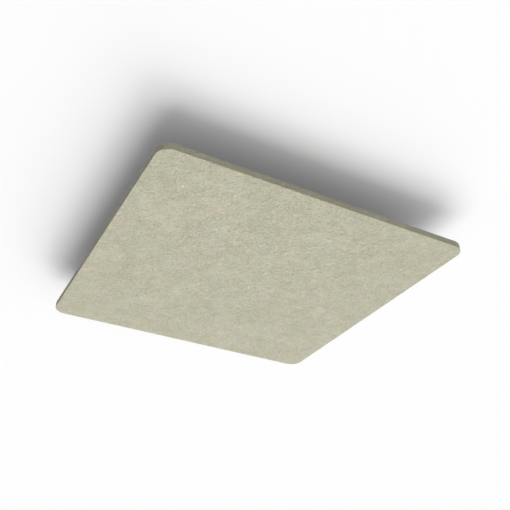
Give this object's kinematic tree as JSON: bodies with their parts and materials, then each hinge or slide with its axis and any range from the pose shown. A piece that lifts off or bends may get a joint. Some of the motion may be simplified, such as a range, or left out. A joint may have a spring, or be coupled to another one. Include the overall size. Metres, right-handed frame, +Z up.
{
  "type": "ceiling panel",
  "caption": "Square acoustic ceiling panel of solid felt with round corners, with flush threaded inserts in its back for hanging it under a ceiling.",
  "frame": {"origin": "centre of the back face, the one that faces the ceiling", "axes": "+Z up towards the ceiling, square to both faces; +X and +Y along the sides; the visible face looks along -Z"},
  "size_m": [1.2, 1.2, 0.024],
  "materials": {
    "felt": "needled felt, grey-green heather with pale fibres",
    "zinc_plate": "bright zinc plate"
  },
  "bodies": {
    "root": {"felt_board": "felt", "insert_front_left": "zinc_plate", "insert_front_right": "zinc_plate", "insert_rear_left": "zinc_plate", "insert_rear_right": "zinc_plate"}
  },
  "joints": []
}
